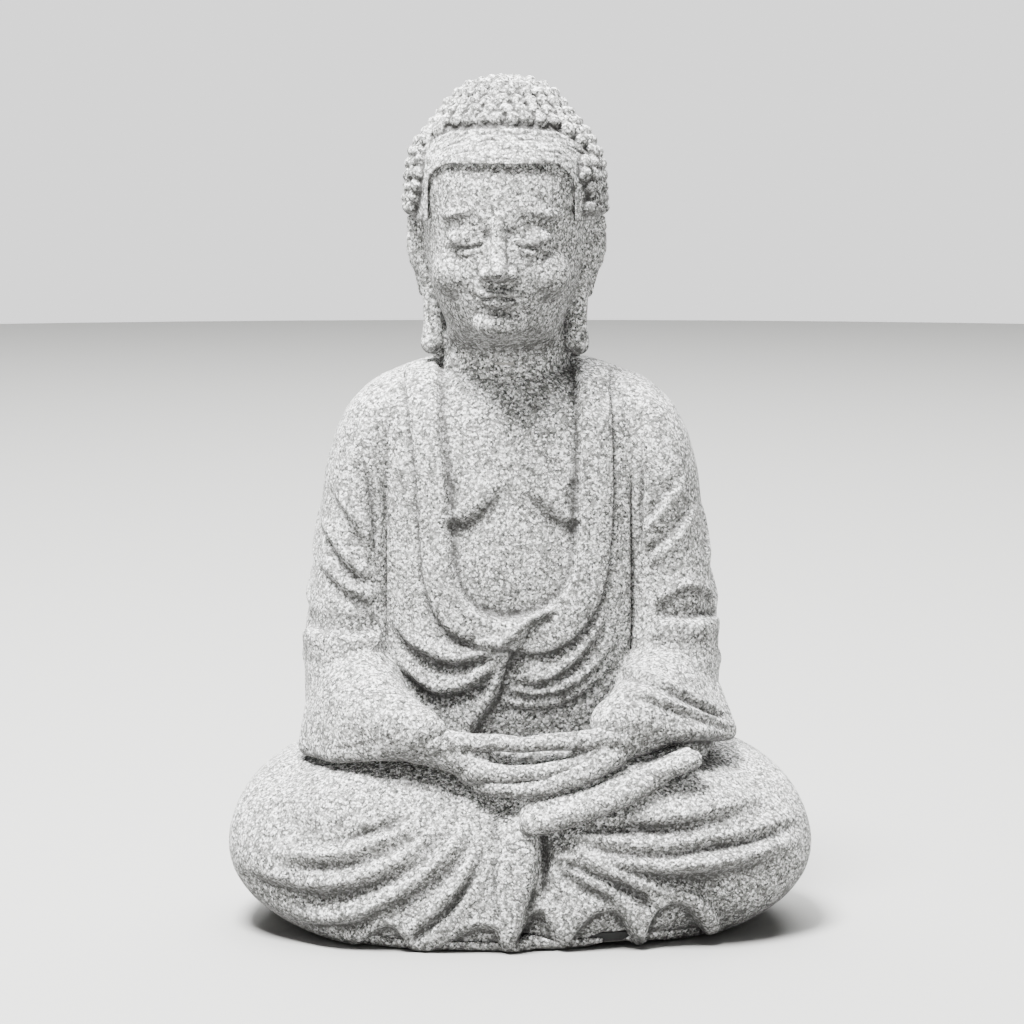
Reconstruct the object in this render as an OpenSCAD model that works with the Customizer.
// Seated meditation statue in granite-chip cast stone.
// It is cast in hollow and solid sections that are dowelled, bedded in mortar
// and closed underneath by a screwed plate with a drain plug.
// Millimetres, +Z up, the statue faces -Y, and it rests on z = 0.

/* [Overall] */
// Height of the statue, ground to the top of the curls
statue_h = 600; // [560:5:640]

/* [Castings] */
// Wall of the hollow lap and torso castings
wall = 12; // [10:1:15]
// Width of the mortar beds between castings
bed_w = 8; // [6:1:9]
// Depth of the grooves that hold the mortar
bed_t = 1.5; // [1:0.5:2]

/* [Dowels] */
// Diameter of the stainless steel dowels
dowel_d = 8; // [6:1:9]
// Diameter of the threaded rod that draws the head down
rod_d = 12; // [10:1:12]
// Gap round each dowel, filled with resin when it is set
grout = 0.6; // [0.4:0.1:0.8]

/* [Base] */
// Thickness of the plate that closes the bottom
plate_t = 8; // [6:1:10]
// How far the stone rim stands off the ground
rim_lift = 1.5; // [1:0.5:2]
// Diameter of the rubber feet
foot_d = 26; // [20:1:30]
// Diameter of the drain hole in the plate
drain_d = 24; // [18:1:28]

/* [Hidden] */

k = statue_h / 600;          // the tables below are for a statue 600 tall
stone = [0.66, 0.66, 0.65];
ring_n = 44;                 // points round the lap and torso outlines
tiny = 0.01;

// ---- heights of the joints
seat_z = 128 * k;            // torso, sleeves and hands stand on this level of the lap
neck_z = 398 * k;            // the head's neck stands on this level of the torso
torso_x = -8 * k;            // the torso leans a little to its right
head_x = -10 * k;
head_y = 12 * k;
arm_plane = 92 * k;          // the sleeves butt against the torso this far from its middle

// ---- curves through rows of numbers, and solids from stacked outlines
function glide(a, b, c, d, t) =
    0.5 * (2 * b + (c - a) * t + (2 * a - 5 * b + 4 * c - d) * t * t + (3 * b - a - 3 * c + d) * t * t * t);
function refine(rows, cuts) = let (last = len(rows) - 1)
    [for (i = [0:last - 1]) for (j = [0:cuts - 1])
        glide(rows[max(i - 1, 0)], rows[i], rows[i + 1], rows[min(i + 2, last)], j / cuts), rows[last]];

function sgn_pow(v, p) = sign(v) * pow(abs(v), p);

// A row is [z, half width, front y, back y, y of the widest point, front squareness, back squareness]
function outline(row, x0, n = ring_n) =
    [for (i = [0:n - 1]) let (t = 360 * i / n, front = sin(t) < 0, p = 2 / (front ? row[5] : row[6]))
        [x0 + row[1] * sgn_pow(cos(t), p),
         row[4] + (front ? row[4] - row[2] : row[3] - row[4]) * sgn_pow(sin(t), p),
         row[0]]];
function outlines(rows, x0, n = ring_n) = [for (row = rows) outline(k * row_scaled(row), x0, n)];
// the last two numbers of a row are shapes and not lengths, so they are kept from scaling
function row_scaled(row) = [for (i = [0:6]) i < 5 ? row[i] : row[i] / k];
// the same row with a wall taken off inside
function inset_row(row, t) =
    [row[0], row[1] - t / k, row[2] + t / k, row[3] - t / k, row[4], row[5], row[6]];
function flat(points) = [for (p = points) [p[0], p[1]]];

function skin(rings, first) = let (n = len(rings[0]))
    [for (r = [0:len(rings) - 2]) for (i = [0:n - 1])
        let (j = (i + 1) % n, low = (first + r) * n, high = low + n)
        each [[low + i, high + i, high + j], [low + i, high + j, low + j]]];

module loft(rings) {
    n = len(rings[0]);
    last = len(rings) - 1;
    polyhedron([for (ring = rings) each ring],
        concat(skin(rings, 0),
            [[for (i = [0:n - 1]) i]],
            [[for (i = [n - 1:-1:0]) last * n + i]]));
}

// A shell open at the bottom: an outer skin, an inner skin and the flat rim between them
module shell(outer, inner) {
    n = len(outer[0]);
    a = len(outer);
    b = len(inner);
    inside = [for (i = [b - 1:-1:0]) inner[i]];   // from the top down, so that it faces inward
    polyhedron([for (ring = concat(outer, inside)) each ring],
        concat(skin(outer, 0), skin(inside, a),
            [[for (i = [n - 1:-1:0]) (a - 1) * n + i]],
            [[for (i = [0:n - 1]) a * n + i]],
            [for (i = [0:n - 1]) let (j = (i + 1) % n, m = (a + b - 1) * n)
                each [[i, j, m + j], [i, m + j, m + i]]]));
}

// A solid through oval stations [centre, half width vector, half height vector]
module tube(stations, n = 20) {
    loft([for (s = stations) [for (i = [0:n - 1]) s[0] + s[1] * cos(360 * i / n) + s[2] * sin(360 * i / n)]]);
}

// A chain of rounded links through [x, y, z, radius] stations
module links(stations, fn = 12) {
    for (i = [0:len(stations) - 2])
        hull() for (s = [stations[i], stations[i + 1]])
            translate([s[0], s[1], s[2]] * k) sphere(r = s[3] * k, $fn = fn);
}

module both_sides(x0 = 0) {
    for (side = [-1, 1]) translate([x0, 0, 0]) scale([side, 1, 1]) children();
}

// ---- the lap: crossed legs under the robe
lap_rows = [
    [1.5, 152, -129, 113, -30, 2.6, 2.3],
    [10, 169, -131, 121, -30, 2.6, 2.3],
    [24, 191, -132, 127, -30, 2.5, 2.3],
    [42, 204, -131, 131, -30, 2.5, 2.3],
    [62, 207.5, -126, 131.8, -30, 2.5, 2.3],
    [82, 203, -115, 131.8, -26, 2.4, 2.3],
    [98, 193, -101, 130, -20, 2.3, 2.3],
    [112, 178, -86, 126, -12, 2.2, 2.3],
    [122, 160, -70, 121, -4, 2.2, 2.3],
    [128, 138, -54, 117, 6, 2.3, 2.3]];
plate_row = inset_row([rim_lift / k, 152, -129, 113, -30, 2.6, 2.3], wall + 5);
plate_z = rim_lift + 2;
// Each post is [x, y, height], up into the roof of the lap casting
post_places = [[-92, -60, 100], [92, -60, 100], [-108, 4, 114], [108, 4, 114], [-52, 66, 114], [52, 66, 114]] * k;
post_d = 22;
insert_d = 8;
insert_h = 14;

module lap_outside() { loft(outlines(refine(lap_rows, 2), 0)); }

// Above the knees the inner skin is also drawn down, so that the wall stays as thick where it turns level
function drawn_down(row) =
    [row[0] < 40 ? row[0] : 40 + (row[0] - 40) * (88 - wall / k) / 88, for (i = [1:6]) row[i]];

module lap_body() {
    inner_rows = [for (row = refine(lap_rows, 1)) drawn_down(inset_row(row, wall))];
    shell(outlines(refine(lap_rows, 2), 0), outlines(inner_rows, 0));
}

module lap_shell() {
    color(stone) difference() {
        union() {
            lap_body();
            for (p = post_places) translate([p[0], p[1], plate_z + plate_t])
                cylinder(d = post_d, h = p[2], $fn = 32);
            waist_dowel_places() translate([0, 0, -34]) cylinder(d = post_d, h = 30, $fn = 32);
        }
        at_posts(plate_z + plate_t - tiny) cylinder(d = insert_d, h = insert_h, $fn = 32);
        translate([0, 0, seat_z - bed_t]) linear_extrude(2 * bed_t) waist_ring();
        waist_dowel_places() cylinder(d = dowel_d + 2 * grout, h = 58, center = true, $fn = 32);
        foot_dowel_at(grout);
    }
}

module at_posts(z) {
    for (p = post_places) translate([p[0], p[1], z]) children();
}

// ---- the torso: chest, belly and back under the open robe
torso_rows = [
    [128, 103, -42, 110, 34, 3.0, 2.4],
    [160, 103, -48, 113, 33, 3.0, 2.4],
    [200, 103, -52, 112, 31, 3.0, 2.4],
    [240, 103, -53, 108, 29, 3.0, 2.4],
    [280, 104, -51, 104, 28, 3.0, 2.4],
    [315, 105, -49, 102, 27, 2.9, 2.4],
    [342, 105, -45, 99, 27, 2.8, 2.3],
    [362, 104, -38, 95, 28, 2.6, 2.2],
    [376, 98, -30, 90, 28, 2.4, 2.1],
    [388, 84, -20, 83, 27, 2.2, 2.0],
    [398, 63, -12, 73, 26, 2.0, 2.0]];
waist_row = torso_rows[0];
cavity_top = 352 * k;
socket_d = 52 * k;
socket_h = 22 * k;

collar_h = 3;                // how far the collar band stands off the chest
// Edges of the collar band as [x, z], down one side and up the other
collar_inner = [[-60, 402], [-57, 350], [-53, 295], [-48, 250], [-34, 227], [-4, 221], [20, 226], [34, 244],
                [41, 285], [43, 350], [40, 402]];
collar_outer = [[-84, 402], [-78, 350], [-74, 300], [-70, 258], [-58, 222], [-30, 203], [0, 199], [36, 208],
                [57, 236], [64, 290], [65, 350], [62, 402]];

module torso_outside() {
    intersection() {
        union() {
            loft(outlines(refine(torso_rows, 3), torso_x));
            intersection() {
                loft(outlines([for (row = torso_rows) inset_row(row, -collar_h)], torso_x));
                collar_band();
            }
        }
        translate([torso_x - arm_plane, -200, 0]) cube([2 * arm_plane, 400, neck_z]);
    }
}

module collar_band() {
    band = concat(refine(collar_outer, 2), [for (i = [20:-1:0]) refine(collar_inner, 2)[i]]);
    rotate([90, 0, 0]) linear_extrude(100) polygon(k * band);
}

module torso_cavity() {
    rows = [for (row = torso_rows) if (row[0] * k < cavity_top - 20) inset_row(row, wall + 3)];
    top = [[cavity_top / k, 66, -16, 72, 28, 2.2, 2.1]];
    bottom = [inset_row([127, 103, -42, 110, 34, 3.0, 2.4], wall + 3)];
    loft(outlines(concat(bottom, rows, top), torso_x, 28));
}

module waist_ring(gap = 0) {
    mid = inset_row(waist_row, (wall + 3) / 2);
    difference() {
        polygon(flat(outline(k * row_scaled(inset_row(mid, -bed_w / 2 + gap)), torso_x)));
        polygon(flat(outline(k * row_scaled(inset_row(mid, bed_w / 2 - gap)), torso_x)));
    }
}

waist_places = [[-62, -12], [62, -12], [-58, 84], [58, 84]] * k;
module waist_dowel_places() {
    for (p = waist_places) translate([torso_x + p[0], p[1], seat_z]) children();
}

shoulder_places = [[22, 322], [24, 250]] * k;
module shoulder_dowel_places() {
    for (side = [-1, 1]) for (p = shoulder_places)
        translate([torso_x + side * arm_plane, p[0], p[1]]) rotate([0, 90, 0]) children();
}

module torso_shell() {
    color(stone) difference() {
        torso_outside();
        difference() {
            torso_cavity();
            waist_dowel_places() cylinder(d = post_d, h = 46, $fn = 32);
            shoulder_dowel_places() cylinder(d = post_d, h = 70, center = true, $fn = 32);
        }
        waist_dowel_places() cylinder(d = dowel_d + 2 * grout, h = 60, center = true, $fn = 32);
        shoulder_dowel_places() cylinder(d = dowel_d + 2 * grout, h = 60, center = true, $fn = 32);
        translate([head_x, head_y, neck_z - socket_h]) cylinder(d = socket_d, h = socket_h + 1, $fn = 48);
        translate([head_x, head_y, cavity_top - 20]) cylinder(d = rod_d + 2 * grout, h = 60, $fn = 32);
        translate([head_x, head_y, neck_z - bed_t]) neck_ring(2 * bed_t);
        shoulder_bed_shapes(bed_t, 1);
    }
}

module neck_ring(h, gap = 0) {
    difference() {
        cylinder(d = socket_d + 2 * bed_w + 4 - 2 * gap, h = h, $fn = 48);
        translate([0, 0, -1]) cylinder(d = socket_d + 4 + 2 * gap, h = h + 2, $fn = 48);
    }
}

module shoulder_bed_shapes(t, past = 0) {
    for (side = [-1, 1]) for (z = [286, 356] * k)
        translate([torso_x + side * arm_plane + (side < 0 ? -past : -t), 0, z - bed_w / 2])
            cube([t + past, 46 * k, bed_w]);
}

// ---- sleeves: upper arm hanging down, forearm coming forward over the lap
// A row is [z, outer x, inner x, front y, back y], with x from the torso's middle
upper_arm_rows = [
    [122, 146, 80, -60, 50], [150, 148, 80, -56, 58], [176, 149, 80, -48, 64], [200, 149, 80, -40, 72],
    [222, 147, 80, -35, 76], [250, 142, 79, -32, 79], [285, 136, 78, -31, 80], [320, 131, 77, -30, 80],
    [346, 124, 76, -27, 79], [364, 115, 74, -21, 75], [378, 102, 74, -12, 68], [388, 88, 72, 0, 58]];
// Links of [x, y, z, radius] down the forearm and along the hem that hangs from it
forearm_links = [[108, -10, 166, 38], [103, -46, 158, 34], [92, -68, 152, 29], [80, -80, 148, 25], [66, -87, 145, 21]];
hem_links = [[138, -30, 134, 12], [132, -56, 134, 12], [114, -80, 136, 12], [92, -90, 141, 11], [72, -93, 147, 10]];

module drape(shorter) {
    for (i = [0:3]) hull() for (s = [forearm_links[i], hem_links[i], forearm_links[i + 1], hem_links[i + 1]])
        translate([s[0] + shorter * (108 - s[0]) / 42, s[1], s[2]] * k) sphere(r = s[3] * k, $fn = 16);
}

module sleeve_shape(side) {
    spread = side < 0 ? 1 : 1.02;
    translate([torso_x, 0, 0]) {
        loft([for (row = refine(upper_arm_rows, 2)) let (
                cx = side * spread * (row[1] + row[2]) / 2, a = spread * (row[1] - row[2]) / 2,
                cy = (row[3] + row[4]) / 2, b = (row[4] - row[3]) / 2)
            [for (i = [0:23]) let (t = 15 * i)
                k * [cx + a * sgn_pow(cos(t), 0.85), cy + b * sgn_pow(sin(t), 0.85), row[0]]]]);
        scale([side, 1, 1]) drape(side < 0 ? 0 : 19);
    }
}

module behind_sleeves() {
    torso_outside();
    lap_outside();
    translate([torso_x - arm_plane, -46 * k, 0]) cube([2 * arm_plane, 200, neck_z]);
    translate([0, 0, seat_z / 2]) cube([120 * k, 200, seat_z], center = true);
}

module sleeve(side) {
    color(stone) difference() {
        sleeve_shape(side);
        behind_sleeves();
        shoulder_dowel_places() cylinder(d = dowel_d + 2 * grout, h = 60, center = true, $fn = 16);
        wrist_dowel_at(side, grout);
    }
}

module right_sleeve() { sleeve(-1); }
module left_sleeve() { sleeve(1); }

// ---- hands, laid one on the other with the palms up and the thumb tips together
// The right hand lies in the left. Links are [x, y, z, radius].
module right_hand_shape() {
    links([[-66, -84, 141, 15], [-46, -90, 135, 14], [-26, -90, 126, 12]], 14);
    links([[-32, -88, 122, 11], [0, -86, 119, 10]], 12);
    for (f = [0:3]) {
        y = -106 + 11 * f;
        links([[-22, y, 123, 7], [6, y, 123, 6.5], [[34, 41, 38, 29][f], y + 1, 129, 5.5]], 12);
    }
    links([[-40, -96, 137, 9], [-20, -99, 139, 7.5], [2, -100, 138, 6]], 12);
}

module left_hand_shape() {
    links([[72, -84, 142, 15], [54, -90, 133, 14], [34, -92, 121, 12]], 14);
    links([[38, -90, 117, 11], [6, -88, 110, 10]], 12);
    for (f = [0:3]) {
        y = -108 + 11 * f;
        links([[28, y, 116, 8], [2, y, 112, 7], [[-22, -28, -25, -17][f], y + 1, 112, 6]], 12);
    }
    links([[46, -96, 141, 9], [25, -99, 140, 7.5], [2, -100, 138, 6]], 12);
}

module right_hand() {
    color(stone) difference() {
        right_hand_shape();
        translate([2 * k, -150, 128 * k]) cube([60, 100, 40]);
        hands_keep_out(-1);
    }
}

module left_hand() {
    color(stone) difference() {
        left_hand_shape();
        right_hand_shape();
        hands_keep_out(1);
    }
}

module hands_keep_out(side) {
    lap_outside();
    sleeve_shape(side);
    translate([-300, -52 * k, 0]) cube([600, 200, neck_z]);
    wrist_dowel_at(side, grout);
}

wrist = [56, -89, 137];
module wrist_dowel_at(side, gap) {
    scale([side, 1, 1]) translate(wrist * k)
        rotate([0, 76, -4]) cylinder(d = 6 + 2 * gap, h = 30, center = true, $fn = 16);
}

// ---- the right foot, sole up on the left thigh
module foot_shape() {
    links([[20, -107, 92, 14], [40, -107, 101, 13.5], [70, -103, 113, 12], [98, -96, 120, 10.5]], 14);
    links([[22, -94, 98, 14], [50, -92, 108, 14], [80, -88, 117, 12], [104, -84, 122, 10]], 14);
    for (t = [0:4])
        links([[103, -100 + 6.5 * t, 121 + 1.3 * t, 6.5 - 0.4 * t],
            [119, -96 + 6.5 * t, 125 + 1.2 * t, 5.6 - 0.4 * t]], 10);
}

module foot_dowel_at(gap) {
    translate([56 * k, -96 * k, 98 * k]) cylinder(d = dowel_d + 2 * gap, h = 40, center = true, $fn = 16);
}

module right_foot() {
    color(stone) difference() {
        foot_shape();
        lap_outside();
        sleeve_shape(1);
        left_hand_shape();
        right_hand_shape();
        foot_dowel_at(grout);
    }
}

// ---- head: face, neck and long-lobed ears below the crown joint
head_rows = [
    [398, 47, -30, 62, 16, 2, 2], [406, 45, -30, 58, 15, 2, 2], [415, 43, -33, 56, 14, 2, 2],
    [421, 42, -52, 56, 10, 2, 2], [428, 44, -64, 58, 8, 2, 2], [440, 50, -70, 62, 8, 2, 2],
    [455, 55, -72, 68, 8, 2.1, 2], [472, 59, -72, 74, 8, 2.1, 2.1], [490, 62, -70, 79, 8, 2.1, 2.1],
    [508, 64, -70, 82, 8, 2.1, 2.1], [526, 64, -68, 83, 8, 2.1, 2.1], [545, 60, -62, 80, 8, 2, 2]];
crown_rows = [
    [425, 56, -40, 70, 12, 2, 2], [450, 62, -56, 78, 12, 2, 2], [480, 67, -66, 84, 10, 2, 2],
    [505, 69, -72, 87, 9, 2, 2.1], [530, 69.5, -73, 86, 8, 2, 2.1], [543, 67, -69, 82, 8, 2, 2],
    [556, 60, -61, 74, 8, 2, 2], [568, 51, -49, 63, 8, 2, 2], [580, 43, -38, 52, 8, 2, 2],
    [590, 34, -27, 42, 8, 2, 2], [596.5, 22, -15, 30, 8, 2, 2], [599.4, 11, -4, 19, 8, 2, 2],
    [600, 4, 4, 12, 8, 2, 2]];
crown_tilt = 38;             // the crown joint slopes down towards the nape
crown_joint = [head_x, -70 * k, 540 * k];

module above_crown_joint() {
    translate(crown_joint) rotate([-crown_tilt, 0, 0]) translate([-150, -100, 0]) cube([300, 400, 300]);
}

module crown_joint_at(y, z) {
    translate(crown_joint) rotate([-crown_tilt, 0, 0]) translate([0, y, z]) children();
}

// A row is [x, y, z, half width, half depth], from the tip of the lobe up to the rim
ear_stations = [
    [57, 2, 412, 7, 9], [55, 4, 424, 6.5, 10], [57, 6, 444, 6, 11], [62, 9, 466, 7, 14], [66, 12, 486, 8, 16],
    [64, 14, 502, 8, 14]];

module ear(clear = 0) {
    tube([for (s = refine(ear_stations, 2))
        k * [[s[0], s[1], s[2] + (s[2] > 500 ? clear : 0)], [s[3] + clear, 0, 0], [0, s[4] + clear, 0]]], 14);
    translate([57, 2, 411] * k) scale([7, 9, 6] * k) sphere(r = 1, $fn = 14);
}

// The face is laid out in equal thirds: hairline, brow, base of the nose, chin
module face() {
    tube([for (s = [[458, -76, 4, 4], [463, -78, 8, 7], [470, -77, 7, 6], [482, -73, 5, 5], [496, -69, 5, 4]])
        k * [[0, s[1], s[0]], [s[2], 0, 0], [0, s[3], 0]]], 16);
    for (side = [-1, 1]) translate([side * 22, -60, 487] * k) scale([14, 9, 7] * k) sphere(r = 1, $fn = 20);
    translate([0, -69, 447] * k) scale([16, 6, 3] * k) sphere(r = 1, $fn = 20);
    translate([0, -68, 442] * k) scale([13, 6, 3.4] * k) sphere(r = 1, $fn = 20);
    translate([0, -58, 426] * k) scale([18, 14, 12] * k) sphere(r = 1, $fn = 20);
}

module head() {
    color(stone) difference() {
        union() {
            translate([head_x, 0, 0]) face();
            difference() {
                translate([0, 0, 0]) loft(outlines(refine(head_rows, 2), head_x, 32));
                above_crown_joint();
            }
            translate([head_x, head_y, neck_z - socket_h + 1]) cylinder(d = socket_d - 1, h = socket_h, $fn = 48);
            both_sides(head_x) ear();
        }
        translate([head_x, head_y, neck_z - socket_h]) cylinder(d = rod_d + 2 * grout, h = 64 * k, $fn = 32);
        crown_dowel_places() cylinder(d = dowel_d + 2 * grout, h = 40, center = true, $fn = 32);
    }
}

module crown_dowel_places() {
    for (y = [44, 130] * k) crown_joint_at(y, 0) children();
}

module crown() {
    color(stone) difference() {
        intersection() {
            loft(outlines(refine(crown_rows, 2), head_x, 32));
            above_crown_joint();
        }
        crown_dowel_places() cylinder(d = dowel_d + 2 * grout, h = 40, center = true, $fn = 32);
        crown_joint_at(86 * k, -1) bed_ring(bed_t + 1, 64 * k);
        both_sides(head_x) ear(0.4);
    }
}

module bed_ring(h, d, gap = 0) {
    difference() {
        cylinder(d = d - 2 * gap, h = h, $fn = 48);
        translate([0, 0, -1]) cylinder(d = d - 2 * bed_w + 2 * gap, h = h + 2, $fn = 48);
    }
}

// ---- mortar beds, each in its groove
mortar = [0.52, 0.51, 0.5];
module waist_bed() { color(mortar) translate([0, 0, seat_z - bed_t]) linear_extrude(bed_t) waist_ring(0.05); }
module neck_bed() { color(mortar) translate([head_x, head_y, neck_z - bed_t]) neck_ring(bed_t, 0.05); }
module crown_bed() { color(mortar) crown_joint_at(86 * k, 0) bed_ring(bed_t, 64 * k, 0.05); }
module shoulder_beds() { color(mortar) shoulder_bed_shapes(bed_t); }

// ---- dowels and the rod that draws the head down
module dowel(d, l) { cylinder(d = d, h = l, center = true, $fn = 32); }
module waist_dowels() { color("silver") waist_dowel_places() dowel(dowel_d, 56); }
module shoulder_dowels() { color("silver") shoulder_dowel_places() dowel(dowel_d, 56); }
module wrist_dowels() { color("silver") for (side = [-1, 1]) wrist_dowel_at(side, -0.5); }
module foot_dowel() { color("silver") foot_dowel_at(-0.2); }
module crown_dowels() { color("silver") crown_dowel_places() dowel(dowel_d, 36); }

rod_low = cavity_top - 22;
module neck_rod() {
    color("silver") translate([head_x, head_y, rod_low]) cylinder(d = rod_d, h = neck_z + 40 * k - rod_low, $fn = 32);
}
module neck_washer() {
    color("silver") translate([head_x, head_y, cavity_top - 3]) difference() {
        cylinder(d = 37, h = 3, $fn = 48);
        translate([0, 0, -1]) cylinder(d = rod_d + 1, h = 5, $fn = 32);
    }
}
module neck_nut() {
    color("silver") translate([head_x, head_y, cavity_top - 13]) difference() {
        cylinder(d = 21.9, h = 10, $fn = 6);
        translate([0, 0, -1]) cylinder(d = rod_d + 0.1, h = 12, $fn = 32);
    }
}

// ---- the plate that closes the bottom
module plate_outline(gap) { polygon(flat(outline(k * row_scaled(inset_row(plate_row, gap)), 0))); }
foot_places = [[-98, -42], [98, -42], [-74, 50], [74, 50]] * k;

module base_plate() {
    color("dimgray") difference() {
        translate([0, 0, plate_z]) linear_extrude(plate_t) plate_outline(3);
        at_posts(plate_z - 1) cylinder(d = 5.5, h = plate_t + 2, $fn = 32);
        at_posts(plate_z - tiny) cylinder(d1 = 10.4, d2 = 5.5, h = 2.6, $fn = 32);
        translate([0, 0, plate_z - 1]) cylinder(d = drain_d, h = plate_t + 2, $fn = 48);
        for (p = foot_places) translate([p[0], p[1], plate_z - 1]) cylinder(d = foot_d + 0.4, h = 2.5, $fn = 48);
    }
}

module plate_seal() {
    color([0.15, 0.15, 0.15]) translate([0, 0, plate_z + 1]) linear_extrude(plate_t - 2)
        difference() {
            plate_outline(0.6);
            plate_outline(2.9);
        }
}

module plate_screws() {
    color("silver") at_posts(plate_z + 0.2) {
        cylinder(d1 = 9.8, d2 = 4.8, h = 2.5, $fn = 32);
        cylinder(d = 4.8, h = plate_t + 10, $fn = 32);
    }
}

module screw_inserts() {
    color("goldenrod") at_posts(plate_z + plate_t) difference() {
        cylinder(d = insert_d - 0.1, h = insert_h - 1, $fn = 32);
        translate([0, 0, -1]) cylinder(d = 4.9, h = insert_h + 2, $fn = 32);
    }
}

module rubber_feet() {
    color([0.12, 0.12, 0.12]) for (p = foot_places) translate([p[0], p[1], 0]) {
        cylinder(d1 = foot_d - 3, d2 = foot_d, h = 1.5, $fn = 48);
        translate([0, 0, 1.5]) cylinder(d = foot_d, h = plate_z, $fn = 48);
    }
}

module drain_plug() {
    color([0.14, 0.14, 0.14]) {
        translate([0, 0, plate_z - 0.05]) cylinder(d = drain_d - 0.2, h = plate_t + 4, $fn = 48);
        translate([0, 0, plate_z - 2.05]) cylinder(d = drain_d + 10, h = 2, $fn = 48);
    }
}

lap_shell();
torso_shell();
right_sleeve();
left_sleeve();
right_hand();
left_hand();
right_foot();
head();
crown();
waist_bed();
neck_bed();
crown_bed();
shoulder_beds();
waist_dowels();
shoulder_dowels();
wrist_dowels();
foot_dowel();
crown_dowels();
neck_rod();
neck_washer();
neck_nut();
base_plate();
plate_seal();
plate_screws();
screw_inserts();
rubber_feet();
drain_plug();
